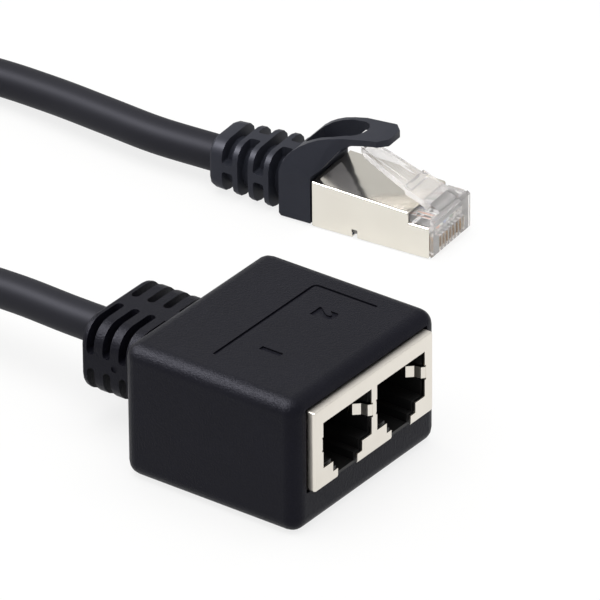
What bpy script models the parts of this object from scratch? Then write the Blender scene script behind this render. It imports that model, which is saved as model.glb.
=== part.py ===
# Network splitter lead: two jacks in one moulded housing, a short round cable
# and a shielded plug with a snagless boot.
#
# Metres, +Z up. The jacks face -Y, the cable leaves the housing along +Y, and
# the origin is the bottom centre of the housing with its strain relief.

import math

import bmesh
import bpy
from mathutils import Matrix, Vector

MM = 0.001

# Driving sizes of the housing.
HOUSING_WIDTH = 36.0 * MM
HOUSING_HEIGHT = 22.5 * MM
HOUSING_LENGTH = 32.0 * MM
HOUSING_ROUND = 2.4 * MM
HOUSING_ROUND_STEPS = 5
SEAT_GAP = 0.3 * MM

# Strain relief that is moulded with the housing.
RELIEF_WIDTH = 18.8 * MM
RELIEF_HEIGHT = 12.4 * MM
RELIEF_LENGTH = 14.2 * MM
RELIEF_CORNER = 3.7 * MM
RELIEF_RIM = 0.6 * MM
RELIEF_SLOTS = 4
RELIEF_SLOT = 1.4 * MM
RELIEF_PITCH = 3.0 * MM
RELIEF_LAST_SLOT = 1.75 * MM
RELIEF_CORE = 4.4 * MM
RELIEF_BRIDGE = 2.8 * MM
RELIEF_SIDE_BRIDGE = 2.4 * MM
RELIEF_SLOT_END = 0.9
GATE_MARK = 1.1 * MM
GATE_MARK_DEPTH = 0.25 * MM
GATE_MARK_FROM_END = 6.2 * MM

# Two line groove on top of the housing.
GROOVE_WIDTH = 0.5 * MM
GROOVE_DEPTH = 0.3 * MM
GROOVE_LEFT = -12.3 * MM
GROOVE_RIGHT = 13.0 * MM
GROOVE_BACK_INSET = 13.0 * MM
GROOVE_ARM = 11.4 * MM
GROOVE_CORNER = 0.9 * MM

# Double jack: a folded steel shield round one black insulator.
JACK_WIDTH = 30.0 * MM
JACK_HEIGHT = 13.6 * MM
JACK_DEPTH = 17.6 * MM
JACK_REAR = 4.2 * MM
JACK_PROUD = 1.3 * MM
JACK_BELOW = 6.8 * MM
SHEET = 0.3 * MM
SHIELD_BEND = 0.45 * MM
PORT_PITCH = 13.5 * MM
PORT_WIDTH = 12.1 * MM
PORT_TOP = 2.55 * MM
PORT_HEIGHT = 7.7 * MM
STEP_WIDTH = 7.3 * MM
STEP_HEIGHT = 1.7 * MM
NOTCH_WIDTH = 4.9 * MM
PORT_SHRINK = 0.2 * MM
FINGER_HEIGHT = 1.9 * MM
FINGER_DROP = 2.7 * MM
FINGER_LENGTH = 3.4 * MM
FINGER_BULGE = 1.35 * MM
FINGER_ROOT = 0.7 * MM
FINGER_SLIT = 0.3 * MM
FINGER_SHEET = 0.22 * MM

# Spring contacts of a jack.
CONTACTS = 8
CONTACT_PITCH = 1.02 * MM
CONTACT_WIDTH = 0.36 * MM
CONTACT_STOCK = 0.4 * MM
CONTACT_RUN_DROP = 1.6 * MM
CONTACT_DIP = 4.3 * MM
CONTACT_FRONT = 2.6 * MM
CONTACT_TIP_INSET = 3.2 * MM
CONTACT_ROWS = 1.45 * MM

# Circuit board below the jacks.
BOARD_WIDTH = 28.6 * MM
BOARD_THICK = 1.6 * MM
BOARD_FRONT = 1.6 * MM
BOARD_BACK = 27.6 * MM
BOARD_HOLE = 0.95 * MM
BOARD_LEDGE = 1.6 * MM
PIN_STICKOUT = 0.9 * MM
PIN_ROOM = 1.5 * MM
WIRE_ROOM_BACK = 30.0 * MM
WIRE_ROOM_TOP = 16.2 * MM

# Cable and its eight conductors.
CABLE_DIAMETER = 6.0 * MM
CABLE_INSIDE = 28.7 * MM
CABLE_STEPS = 2
CONDUCTOR = 0.66 * MM
CONDUCTOR_RING = 1.6 * MM
BOARD_WIRE_PITCH = 1.9 * MM
BOARD_WIRE_END = 21.2 * MM
WIRE_STUB = 1.0 * MM
WIRE_TURN = 4.2 * MM
WIRE_TURN_STAGGER = 0.7 * MM

# Plug: clear body, folded shield and boot, all in the plug's own frame with
# the nose at Y 0 and the contacts' side at Z 0.
PLUG_X = 67.15 * MM
PLUG_Y = 9.95 * MM
PLUG_TURN = math.radians(5.4)
PLUG_LENGTH = 21.46 * MM
NOSE_WIDTH = 11.5 * MM
NOSE_HEIGHT = 6.6 * MM
NOSE_LIP = 0.5 * MM
PLUG_SHEET = 0.25 * MM
PLUG_SHIELD_WIDTH = 11.9 * MM
PLUG_SHIELD_FRONT = 0.75 * MM
PLUG_SHIELD_BACK = 21.9 * MM
PLUG_SHIELD_REAR_TOP = 7.8 * MM
PLUG_SHIELD_STEP_TOP = 7.05 * MM
PLUG_SHIELD_STEP = 4.45 * MM
PLUG_SHIELD_LOW = 5.15 * MM
PLUG_SHIELD_UNDER = 0.2 * MM
PLUG_SHIELD_FLOOR = 5.6 * MM
PLUG_NOTCH_AT = 14.1 * MM
PLUG_NOTCH = 1.0 * MM
PLUG_NOTCH_HIGH = 1.5 * MM
CABLE_AXIS = 4.25 * MM
WIRE_LEVEL = 3.95 * MM
WIRE_FRONT = 1.9 * MM
WIRE_STRAIGHT = 11.5 * MM
BLADE_THICK = 0.34 * MM
BLADE_SLOT = 0.6 * MM
BLADE_HEIGHT = 2.7 * MM
BLADE_LENGTH = 3.0 * MM
LOAD_BAR_FRONT = 4.6 * MM
LOAD_BAR_LENGTH = 4.0 * MM
LOAD_BAR_GROOVE = 0.82 * MM
LATCH_WIDE = 6.3 * MM
LATCH_FRONT = 1.2 * MM
LATCH_FRONT_TOP = 7.5 * MM
LATCH_FRONT_RISE = 0.37
LATCH_HINGE = 3.9 * MM
LATCH_SHOULDER = 6.6 * MM
LATCH_RISE = 0.44
LATCH_NECK = 5.2 * MM
LATCH_TIP_WIDTH = 3.7 * MM
LATCH_END = 15.6 * MM
LATCH_THICK = 1.05 * MM
LATCH_BAR = 5.4 * MM
LATCH_RECESS = 6.7 * MM
LATCH_RAIL = 0.65 * MM
LATCH_RAIL_HEIGHT = 0.4 * MM
NOSE_RIB = 0.8 * MM
NOSE_RIB_HEIGHT = 0.45 * MM

# Boot.
BOOT_FRONT = PLUG_SHIELD_BACK + SEAT_GAP
BLOCK_WIDTH = 11.7 * MM
BLOCK_BACK = 27.9 * MM
BLOCK_UNDER = 0.1 * MM
BOOT_BACK = 41.3 * MM
BOOT_SLOTS = 4
BOOT_SLOT = 2.0 * MM
BOOT_RING = 0.95 * MM
BOOT_SLOT_END = 0.45
BOOT_CORE = 3.75 * MM
BOOT_BRIDGE = 2.2 * MM
BOOT_SIDE_BRIDGE = 1.4 * MM
BOOT_SIDE_RISE = 0.9 * MM
BOOT_FRONT_WIDTH = 11.6 * MM
BOOT_FRONT_HEIGHT = 9.8 * MM
BOOT_BACK_WIDTH = 10.0 * MM
BOOT_BACK_HEIGHT = 8.9 * MM
BOOT_LIFT = 0.45 * MM
BOOT_CORNER = 2.6 * MM
BOOT_RIM = 0.7 * MM
BOOT_ON_FLOOR = 0.05 * MM
HOOD_WALL = 1.3 * MM
WINDOW_FRONT = 15.2 * MM
WINDOW_NOSE = 2.2 * MM
WINDOW_WIDEST = 19.6 * MM
WINDOW_BACK = 25.2 * MM
WINDOW_CORNER = 1.6 * MM
WINDOW_FLOOR = 8.7 * MM
HOOD_OVER = 20.0 * MM

# The route of the cable between the housing and the plug, chosen by hand.
# It leaves each exit along its axis.
CABLE_ROUTE = [
    (0.0, 33.0, 11.25),
    (0.5, 43.0, 11.1),
    (1.1, 54.0, 10.2),
    (1.6, 65.0, 8.5),
    (2.0, 76.0, 6.4),
    (2.4, 87.0, 4.6),
    (2.6, 99.0, 3.4),
    (4.9, 110.8, 3.05),
    (11.6, 120.7, 3.05),
    (21.5, 127.4, 3.05),
    (33.3, 129.7, 3.05),
    (45.1, 127.4, 3.05),
    (55.0, 120.7, 3.05),
    (61.7, 110.8, 3.15),
    (64.0, 99.0, 3.6),
    (63.8, 86.0, 4.1),
    (62.9, 74.0, 4.4),
    (62.3, 64.0, 4.5),
]

# Places that follow from the sizes.
TOTAL_LENGTH = JACK_PROUD + HOUSING_LENGTH + RELIEF_LENGTH
FRONT = -TOTAL_LENGTH / 2 + JACK_PROUD
BACK = FRONT + HOUSING_LENGTH
RELIEF_END = BACK + RELIEF_LENGTH
AXIS_HEIGHT = HOUSING_HEIGHT / 2
JACK_TOP = JACK_BELOW + JACK_HEIGHT
PORT_ROOF = JACK_TOP - PORT_TOP
PORT_DEPTH = JACK_DEPTH - JACK_REAR
CONTACT_TIP = PORT_DEPTH - CONTACT_TIP_INSET
BODY_TOP = JACK_TOP - SHEET - SEAT_GAP
BODY_WIDTH = JACK_WIDTH - 2 * (SHEET + SEAT_GAP)
BOARD_TOP = JACK_BELOW - SEAT_GAP
BOARD_BOTTOM = BOARD_TOP - BOARD_THICK
BORE = CABLE_DIAMETER / 2 + SEAT_GAP
PLUG_FLOOR = BOOT_FRONT_HEIGHT / 2 - BOOT_LIFT - CABLE_AXIS + BOOT_ON_FLOOR
CONTACT_TOP = BODY_TOP - CONTACT_RUN_DROP / 2 - CONTACT_STOCK / 2


def start_scene():
    for old in list(bpy.data.objects):
        bpy.data.objects.remove(old)
    for name in ("network_splitter", "cutters"):
        group = bpy.data.collections.get(name) or bpy.data.collections.new(name)
        if name not in bpy.context.scene.collection.children:
            bpy.context.scene.collection.children.link(group)


def linear(hex_colour):
    channels = [int(hex_colour[i:i + 2], 16) / 255 for i in (0, 2, 4)]
    return [c / 12.92 if c <= 0.04045 else ((c + 0.055) / 1.055) ** 2.4 for c in channels]


def material(name, hex_colour, roughness, metallic=0.0, transmission=0.0):
    found = bpy.data.materials.get(name)
    if found:
        return found
    made = bpy.data.materials.new(name)
    made.use_nodes = True
    shader = made.node_tree.nodes["Principled BSDF"]
    colour = linear(hex_colour) + [1.0]
    shader.inputs["Base Color"].default_value = colour
    shader.inputs["Roughness"].default_value = roughness
    shader.inputs["Metallic"].default_value = metallic
    shader.inputs["Transmission Weight"].default_value = transmission
    made.diffuse_color = colour
    return made


def place(mesh, name, group="network_splitter", finish=None, parent=None):
    made = bpy.data.objects.new(name, mesh)
    bpy.data.collections[group].objects.link(made)
    if group == "cutters":
        made.hide_render = True
        made.display_type = "WIRE"
    if finish:
        mesh.materials.append(finish)
    if parent:
        made.parent = parent
    return made


def box_mesh(name, low, high, bevel=0.0, segments=2, along=None):
    """A box between two corners, its edges bevelled, or those along one axis."""
    low, high = Vector(low), Vector(high)
    shape = bmesh.new()
    bmesh.ops.create_cube(shape, size=1.0)
    bmesh.ops.scale(shape, vec=high - low, verts=shape.verts)
    bmesh.ops.translate(shape, vec=(high + low) / 2, verts=shape.verts)
    if bevel:
        edges = list(shape.edges)
        if along is not None:
            edges = [e for e in edges if runs_along(e, along)]
        bmesh.ops.bevel(shape, geom=edges, offset=bevel, segments=segments,
                        profile=0.5, affect="EDGES", clamp_overlap=True)
    mesh = bpy.data.meshes.new(name)
    shape.to_mesh(mesh)
    shape.free()
    return mesh


def runs_along(edge, axis):
    way = edge.verts[1].co - edge.verts[0].co
    return abs(way[axis]) > 0.9 * way.length


def rod_mesh(name, radius, start, end, sides=32):
    """A round rod along Y, from start to end."""
    shape = bmesh.new()
    bmesh.ops.create_cone(shape, cap_ends=True, segments=sides, radius1=radius,
                          radius2=radius, depth=(end - start))
    turn = Matrix.Rotation(math.radians(-90), 4, "X")
    bmesh.ops.transform(shape, matrix=turn, verts=shape.verts)
    bmesh.ops.translate(shape, vec=(0, (start + end) / 2, 0), verts=shape.verts)
    mesh = bpy.data.meshes.new(name)
    shape.to_mesh(mesh)
    shape.free()
    return mesh


# How an outline drawn in a curve's own X and Y lies in space: across gives
# (Y, Z) points run along X, above (X, Y) along Z, and facing (X, Z) along Y.
LAY = {
    "across": Matrix(((0, 0, 1, 0), (1, 0, 0, 0), (0, 1, 0, 0), (0, 0, 0, 1))),
    "above": Matrix.Identity(4),
    "facing": Matrix(((1, 0, 0, 0), (0, 0, -1, 0), (0, 1, 0, 0), (0, 0, 0, 1))),
}


def outline_mesh(name, points, low, high, lay):
    """A flat outline that is as thick as low to high."""
    curve = bpy.data.curves.new(name + "_outline", "CURVE")
    curve.dimensions = "2D"
    curve.fill_mode = "BOTH"
    curve.extrude = (high - low) / 2
    spline = curve.splines.new("POLY")
    spline.points.add(len(points) - 1)
    for spot, (a, b) in zip(spline.points, points):
        spot.co = (a, b, 0.0, 1.0)
    spline.use_cyclic_u = True
    return mesh_from_curve(name, curve, LAY[lay], (high + low) / 2)


def mesh_from_curve(name, curve, turn=Matrix.Identity(4), offset=0.0):
    stand_in = bpy.data.objects.new(name + "_curve", curve)
    bpy.context.scene.collection.objects.link(stand_in)
    bpy.context.view_layer.update()
    graph = bpy.context.evaluated_depsgraph_get()
    mesh = bpy.data.meshes.new_from_object(stand_in.evaluated_get(graph))
    bpy.data.objects.remove(stand_in)
    shape = bmesh.new()
    shape.from_mesh(mesh)
    bmesh.ops.remove_doubles(shape, verts=shape.verts, dist=1e-6)
    # The curve's filled ends come in strips, so each end is made one face.
    ends = [f for f in shape.faces if len({round(v.co.z, 7) for v in f.verts}) == 1]
    bmesh.ops.delete(shape, geom=ends, context="FACES")
    bmesh.ops.holes_fill(shape, edges=[e for e in shape.edges if e.is_boundary])
    bmesh.ops.translate(shape, vec=(0, 0, offset), verts=shape.verts)
    bmesh.ops.transform(shape, matrix=turn, verts=shape.verts)
    bmesh.ops.recalc_face_normals(shape, faces=shape.faces)
    shape.to_mesh(mesh)
    shape.free()
    mesh.name = name
    return mesh


def arc(centre, radius, start, end, steps):
    """Points on an arc, with the angles in degrees."""
    spots = []
    for i in range(steps + 1):
        angle = math.radians(start + (end - start) * i / steps)
        spots.append((centre[0] + radius * math.cos(angle), centre[1] + radius * math.sin(angle)))
    return spots


def combine(target, other, operation="DIFFERENCE"):
    """Cuts, joins or intersects target with a cutter mesh or object."""
    if isinstance(other, bpy.types.Mesh):
        other = place(other, other.name, "cutters", parent=target.parent)
    step = target.modifiers.new(operation.lower() + "_" + other.name, "BOOLEAN")
    step.operation = operation
    step.solver = "EXACT"
    step.object = other
    return other


def soften(target, width, segments=2, angle=30.0):
    """Rounds every edge of a piece that is sharper than an angle."""
    step = target.modifiers.new("soft_edges", "BEVEL")
    step.width = width
    step.segments = segments
    step.limit_method = "ANGLE"
    step.angle_limit = math.radians(angle)


def tube(name, points, radius, resolution, finish, parent=None):
    """A round wire or cable along points, with closed ends."""
    curve = bpy.data.curves.new(name, "CURVE")
    curve.dimensions = "3D"
    curve.bevel_depth = radius
    curve.bevel_resolution = resolution
    curve.use_fill_caps = True
    spline = curve.splines.new("POLY")
    spline.points.add(len(points) - 1)
    for spot, point in zip(spline.points, points):
        spot.co = (point[0], point[1], point[2], 1.0)
    made = bpy.data.objects.new(name, curve)
    curve.materials.append(finish)
    bpy.data.collections["network_splitter"].objects.link(made)
    made.parent = parent
    return made


def smooth_path(route, steps):
    """Points on one smooth curve through the route's points."""
    points = [Vector(p) for p in route]
    ends = [2 * points[0] - points[1]] + points + [2 * points[-1] - points[-2]]
    path = []
    for i in range(1, len(ends) - 2):
        a, b, c, d = ends[i - 1:i + 3]
        for k in range(steps):
            t = k / steps
            path.append(0.5 * (2 * b + (c - a) * t + (2 * a - 5 * b + 4 * c - d) * t ** 2
                               + (3 * b - a - 3 * c + d) * t ** 3))
    path.append(points[-1])
    return path


# Overmoulded housing with its strain relief.
def ring_cutter(name, centre, slots, length, span, core, rounding, rise=0.0, parent=None):
    """Slots round a strain relief, which stop at its core and, with round ends, at its bridges.

    Each slot is its Y and the widths of its upright and its level bridge, which
    lies a rise above the centre. The ends' rounding is a share of half the slot.
    """
    x, z = centre
    half = length / 2
    shape = bmesh.new()
    for y, bridge_up, bridge_side in slots:
        for left, right in slot_ranges(bridge_up, span):
            for low, high in slot_ranges(bridge_side, span):
                made = bmesh.ops.create_cube(shape, size=1.0)["verts"]
                size = Vector((right - left, length, high - low))
                middle = Vector((x + (left + right) / 2, y, z + rise + (low + high) / 2))
                bmesh.ops.scale(shape, vec=size, verts=made)
                bmesh.ops.translate(shape, vec=middle, verts=made)
                ends = [e for e in {e for v in made for e in v.link_edges}
                        if not runs_along(e, 1) and faces_bridge(e, x, z + rise, span)]
                bmesh.ops.bevel(shape, geom=ends, offset=half * rounding, segments=3, profile=0.5,
                                affect="EDGES")
    mesh = bpy.data.meshes.new(name)
    shape.to_mesh(mesh)
    shape.free()
    ring = place(mesh, name, "cutters", parent=parent)
    first = min(slot[0] for slot in slots)
    last = max(slot[0] for slot in slots)
    stem = rod_mesh(name + "_core", core, first - length, last + length)
    stem.transform(Matrix.Translation((x, 0, z)))
    combine(ring, stem)
    return ring


def slot_ranges(bridge, span):
    """The stretches that a slot takes on an axis, on each side of its bridge."""
    if bridge:
        return [(-span, -bridge / 2), (bridge / 2, span)]
    return [(-span, span)]


def faces_bridge(edge, x, z, span):
    """Whether an edge of a slot's cutter lies at a bridge and not at the outer side."""
    middle = (edge.verts[0].co + edge.verts[1].co) / 2
    if runs_along(edge, 2):
        return abs(middle.x - x) < 0.9 * span
    return abs(middle.z - z) < 0.9 * span


def groove_outline():
    """The groove's line along the back and its arm on the right, as a band."""
    half = GROOVE_WIDTH / 2
    back = BACK - GROOVE_BACK_INSET
    outer = arc((GROOVE_RIGHT + half - GROOVE_CORNER, back + half - GROOVE_CORNER),
                GROOVE_CORNER, 90, 0, 5)
    inner = arc((GROOVE_RIGHT + half - GROOVE_CORNER, back + half - GROOVE_CORNER),
                GROOVE_CORNER - GROOVE_WIDTH, 0, 90, 3)
    start = [(GROOVE_LEFT, back - half), (GROOVE_LEFT, back + half)]
    end = [(GROOVE_RIGHT + half, back - GROOVE_ARM), (GROOVE_RIGHT - half, back - GROOVE_ARM)]
    return start + outer + end + inner


def make_housing():
    half = HOUSING_WIDTH / 2
    housing = place(box_mesh("housing", (-half, FRONT, 0), (half, BACK, HOUSING_HEIGHT),
                             HOUSING_ROUND, HOUSING_ROUND_STEPS),
                    "housing", finish=material("moulded_pvc_black", "2c2c30", 0.5))
    relief = box_mesh("relief",
                      (-RELIEF_WIDTH / 2, BACK - HOUSING_ROUND, AXIS_HEIGHT - RELIEF_HEIGHT / 2),
                      (RELIEF_WIDTH / 2, RELIEF_END, AXIS_HEIGHT + RELIEF_HEIGHT / 2),
                      RELIEF_CORNER, 5, along=1)
    relief = place(relief, "relief", "cutters")
    rim = relief.modifiers.new("rim", "BEVEL")
    rim.width = RELIEF_RIM
    rim.segments = 2
    rim.limit_method = "ANGLE"
    rim.angle_limit = math.radians(60)
    combine(housing, relief, "UNION")
    pocket = JACK_WIDTH / 2 + SEAT_GAP
    jack_back = FRONT - JACK_PROUD + JACK_DEPTH
    combine(housing, box_mesh("jack_pocket", (-pocket, FRONT - 1 * MM, JACK_BELOW - SEAT_GAP),
                              (pocket, jack_back + SEAT_GAP, JACK_TOP + SEAT_GAP)))
    board = BOARD_WIDTH / 2 + SEAT_GAP
    combine(housing, box_mesh("board_room",
                              (-board, FRONT + BOARD_FRONT - SEAT_GAP, BOARD_BOTTOM - SEAT_GAP),
                              (board, FRONT + WIRE_ROOM_BACK, JACK_BELOW + SEAT_GAP)))
    pins = board - BOARD_LEDGE
    combine(housing, box_mesh("pin_room",
                              (-pins, FRONT + BOARD_FRONT + BOARD_LEDGE, BOARD_BOTTOM - PIN_ROOM),
                              (pins, FRONT + BOARD_BACK - BOARD_LEDGE, BOARD_BOTTOM)))
    combine(housing, box_mesh("wire_room", (-pins, jack_back - SEAT_GAP, BOARD_TOP - SEAT_GAP),
                              (pins, FRONT + WIRE_ROOM_BACK, WIRE_ROOM_TOP)))
    bore = rod_mesh("cable_bore", BORE, FRONT + WIRE_ROOM_BACK - 1 * MM, RELIEF_END + 1 * MM)
    bore.transform(Matrix.Translation((0, 0, AXIS_HEIGHT)))
    combine(housing, bore)
    combine(housing, outline_mesh("top_groove", groove_outline(), HOUSING_HEIGHT - GROOVE_DEPTH,
                                  HOUSING_HEIGHT + 1 * MM, "above"))
    mark = rod_mesh("gate_mark", GATE_MARK / 2, -GATE_MARK_DEPTH, 1 * MM, sides=16)
    mark.transform(Matrix.Translation((-RELIEF_WIDTH / 2, RELIEF_END - GATE_MARK_FROM_END, AXIS_HEIGHT))
                   @ Matrix.Rotation(math.radians(90), 4, "Z"))
    combine(housing, mark)
    slots = [(RELIEF_END - RELIEF_LAST_SLOT - i * RELIEF_PITCH, RELIEF_BRIDGE, RELIEF_SIDE_BRIDGE)
             for i in range(RELIEF_SLOTS)]
    combine(housing, ring_cutter("relief_slots", (0, AXIS_HEIGHT), slots, RELIEF_SLOT,
                                 RELIEF_WIDTH * 0.6, RELIEF_CORE, RELIEF_SLOT_END))
    return housing


# Jack shield: one folded sheet with two stepped windows and its spring fingers.
def port_outline(centre, shrink=0.0, foot=0.0):
    """The stepped outline of a port as (X, Z), from its roof to its latch notch."""
    wide = PORT_WIDTH / 2 - shrink
    step = STEP_WIDTH / 2 - shrink
    notch = NOTCH_WIDTH / 2 - shrink
    roof = PORT_ROOF - shrink
    floor = PORT_ROOF - PORT_HEIGHT + shrink
    ledge = floor - STEP_HEIGHT
    return [(centre - wide, roof), (centre - wide, floor), (centre - step, floor),
            (centre - step, ledge), (centre - notch, ledge), (centre - notch, foot),
            (centre + notch, foot), (centre + notch, ledge), (centre + step, ledge),
            (centre + step, floor), (centre + wide, floor), (centre + wide, roof)]


def finger_outline(edge, side):
    """A spring finger seen from above: it folds in from a window's edge."""
    plate = FRONT - JACK_PROUD + SHEET / 2
    into = -side * FINGER_BULGE
    line = [(edge + side * FINGER_ROOT, plate), (edge + side * FINGER_SLIT / 2, plate),
            (edge + into * 0.2, plate + FINGER_LENGTH * 0.1),
            (edge + into * 0.35, plate + FINGER_LENGTH * 0.43),
            (edge + into, plate + FINGER_LENGTH * 0.7), (edge + into * 0.75, plate + FINGER_LENGTH)]
    return band(line, FINGER_SHEET)


def band(line, thick):
    """The outline of a strip of even thickness along a bent line."""
    left, right = [], []
    points = [Vector(p) for p in line]
    for i, spot in enumerate(points):
        way = points[min(i + 1, len(points) - 1)] - points[max(i - 1, 0)]
        out = Vector((-way.y, way.x)).normalized() * thick / 2
        left.append(tuple(spot + out))
        right.append(tuple(spot - out))
    return left + right[::-1]


def make_jack_shield():
    half = JACK_WIDTH / 2
    front = FRONT - JACK_PROUD
    steel = material("nickel_plated_steel", "d9d5cb", 0.28, metallic=1.0)
    shield = place(box_mesh("jack_shield", (-half, front, JACK_BELOW),
                            (half, front + JACK_DEPTH, JACK_TOP), SHIELD_BEND, 2),
                   "jack_shield", finish=steel)
    inside = half - SHEET
    combine(shield, box_mesh("shield_room", (-inside, front + SHEET, JACK_BELOW - 1 * MM),
                             (inside, front + JACK_DEPTH + 1 * MM, JACK_TOP - SHEET)))
    for port, centre in enumerate((-PORT_PITCH / 2, PORT_PITCH / 2), start=1):
        window = port_outline(centre, foot=JACK_BELOW - 1 * MM)
        combine(shield, outline_mesh("window_%d" % port, window, -front - 2 * MM,
                                     -front + 1 * MM, "facing"))
        for side in (-1, 1):
            edge = centre + side * PORT_WIDTH / 2
            high = PORT_ROOF - FINGER_DROP
            low = high - FINGER_HEIGHT
            name = "finger_%d_%s" % (port, "left" if side < 0 else "right")
            slit = box_mesh(name + "_slit", (edge - FINGER_SLIT, front - 1 * MM, low - FINGER_SLIT),
                            (edge + FINGER_SLIT, front + 1 * MM, high + FINGER_SLIT))
            combine(shield, slit)
            combine(shield, outline_mesh(name, finger_outline(edge, side), low, high, "above"), "UNION")
    return shield


# Insulator with the two plug cavities and the channels for the contacts.
def make_jack_body():
    half = BODY_WIDTH / 2
    front = FRONT - JACK_PROUD + SHEET + SEAT_GAP
    back = FRONT - JACK_PROUD + JACK_DEPTH - SEAT_GAP
    body = place(box_mesh("jack_body", (-half, front, JACK_BELOW), (half, back, BODY_TOP)),
                 "jack_body", finish=material("jack_nylon_black", "101012", 0.45))
    for port, centre in enumerate((-PORT_PITCH / 2, PORT_PITCH / 2), start=1):
        cavity = port_outline(centre, shrink=PORT_SHRINK, foot=JACK_BELOW + 0.5 * MM)
        combine(body, outline_mesh("cavity_%d" % port, cavity, -(front + PORT_DEPTH),
                                   -(front - 1 * MM), "facing"))
        reach = CONTACTS * CONTACT_PITCH / 2 + 0.1 * MM
        run_top = CONTACT_TOP + CONTACT_STOCK / 2 + SEAT_GAP
        run_low = CONTACT_TOP - CONTACT_STOCK / 2 - SEAT_GAP
        combine(body, box_mesh("run_%d" % port,
                               (centre - reach, front + CONTACT_FRONT - 1.2 * MM, run_low),
                               (centre + reach, back + 1 * MM, run_top)))
        combine(body, box_mesh("rear_%d" % port, (centre - reach, front + PORT_DEPTH + 0.8 * MM, 0),
                               (centre + reach, back + 1 * MM, run_top)))
        combine(body, box_mesh("mouth_%d" % port,
                               (centre - reach, front + CONTACT_FRONT - 1.2 * MM, PORT_ROOF - 1 * MM),
                               (centre + reach, front + CONTACT_TIP - 1.6 * MM, run_top - 0.2 * MM)))
        low = PORT_ROOF - FINGER_DROP - FINGER_HEIGHT - SEAT_GAP
        wall = PORT_WIDTH / 2 + 0.6 * MM
        combine(body, box_mesh("finger_room_%d" % port, (centre - wall, front - 1 * MM, low),
                               (centre + wall, FRONT - JACK_PROUD + FINGER_LENGTH + 2 * SEAT_GAP,
                                low + FINGER_HEIGHT + 2 * SEAT_GAP)))
        comb = PORT_ROOF - CONTACT_DIP
        for i in range(CONTACTS + 1):
            x = centre + (i - CONTACTS / 2) * CONTACT_PITCH
            tooth = 0.16 * MM
            combine(body, box_mesh("comb_%d_%d" % (port, i),
                                   (x - tooth, front + PORT_DEPTH - 3.0 * MM, comb),
                                   (x + tooth, front + PORT_DEPTH + 0.4 * MM, PORT_ROOF + 0.3 * MM)),
                    "UNION")
    return body


def contact_outline(row):
    """One spring contact as (Y, Z): solder tail, riser, top run and dipped tip."""
    front = FRONT - JACK_PROUD + SHEET + SEAT_GAP
    riser = front + PORT_DEPTH + 1.4 * MM + row * CONTACT_ROWS
    line = [(riser, BOARD_BOTTOM - PIN_STICKOUT), (riser, CONTACT_TOP - 0.35 * MM),
            (riser - 0.35 * MM, CONTACT_TOP), (front + CONTACT_FRONT, CONTACT_TOP),
            (front + CONTACT_FRONT - 0.45 * MM, CONTACT_TOP - 0.55 * MM),
            (front + CONTACT_FRONT + 0.2 * MM, CONTACT_TOP - 1.15 * MM),
            (front + CONTACT_TIP, PORT_ROOF - CONTACT_DIP + 0.5 * MM),
            (front + CONTACT_TIP + 1.6 * MM, PORT_ROOF - CONTACT_DIP + 0.3 * MM)]
    return band(line, CONTACT_STOCK)


def contact_x(port, number):
    centre = (port - 1.5) * PORT_PITCH
    return centre + (number - (CONTACTS + 1) / 2) * CONTACT_PITCH


def make_jack_contacts():
    gold = material("gold_plated_bronze", "cfa24a", 0.3, metallic=1.0)
    for port in (1, 2):
        for number in range(1, CONTACTS + 1):
            x = contact_x(port, number)
            name = "jack_%d_contact_%d" % (port, number)
            mesh = outline_mesh(name, contact_outline(number % 2), x - CONTACT_WIDTH / 2,
                                x + CONTACT_WIDTH / 2, "across")
            place(mesh, name, finish=gold)


# Circuit board with a hole for each solder tail.
def make_circuit_board():
    half = BOARD_WIDTH / 2
    board = place(box_mesh("circuit_board", (-half, FRONT + BOARD_FRONT, BOARD_BOTTOM),
                           (half, FRONT + BOARD_BACK, BOARD_TOP), 0.5 * MM, 1, along=2),
                  "circuit_board", finish=material("board_green", "2f5d3a", 0.4))
    for port in (1, 2):
        for number in range(1, CONTACTS + 1):
            y = contact_outline(number % 2)[0][0]
            y = (y + contact_outline(number % 2)[-1][0]) / 2
            x = contact_x(port, number)
            half_hole = BOARD_HOLE / 2
            combine(board, box_mesh("tail_hole_%d_%d" % (port, number),
                                    (x - half_hole, y - half_hole, BOARD_BOTTOM - 1 * MM),
                                    (x + half_hole, y + half_hole, BOARD_TOP + 1 * MM),
                                    half_hole * 0.55, 1, along=2))
    return board


# Conductors. Each end of the cable fans them out in the same order.
WIRE_COLOURS = ["e9d9cc", "e07b2c", "dfe8dc", "2f62b5", "dbe2ee", "3a8f4d", "e6dcd0", "7a4b2c"]


def ring_spot(number):
    """Where a conductor leaves the cable's end, as (X, Z) about its axis."""
    column = (number - 1) // 2
    angle = math.radians((157.5, 112.5, 67.5, 22.5)[column])
    side = 1 if number % 2 else -1
    return CONDUCTOR_RING * math.cos(angle), side * CONDUCTOR_RING * math.sin(angle)


def wire_finish(number):
    return material("conductor_%d" % number, WIRE_COLOURS[number - 1], 0.45)


def make_board_wires():
    level = BOARD_TOP + SEAT_GAP + CONDUCTOR / 2
    start = FRONT + CABLE_INSIDE - SEAT_GAP
    for number in range(1, CONTACTS + 1):
        a, b = ring_spot(number)
        x = (number - (CONTACTS + 1) / 2) * BOARD_WIRE_PITCH
        turn = start - WIRE_TURN - math.copysign(WIRE_TURN_STAGGER, b)
        route = [(a, start, AXIS_HEIGHT + b), (a, start - WIRE_STUB, AXIS_HEIGHT + b),
                 (x * 0.8, turn, level + 0.9 * MM),
                 (x, FRONT + BOARD_WIRE_END + WIRE_STUB, level), (x, FRONT + BOARD_WIRE_END, level)]
        tube("board_wire_%d" % number, smooth_path(route, 2), CONDUCTOR / 2, 1, wire_finish(number))


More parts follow.
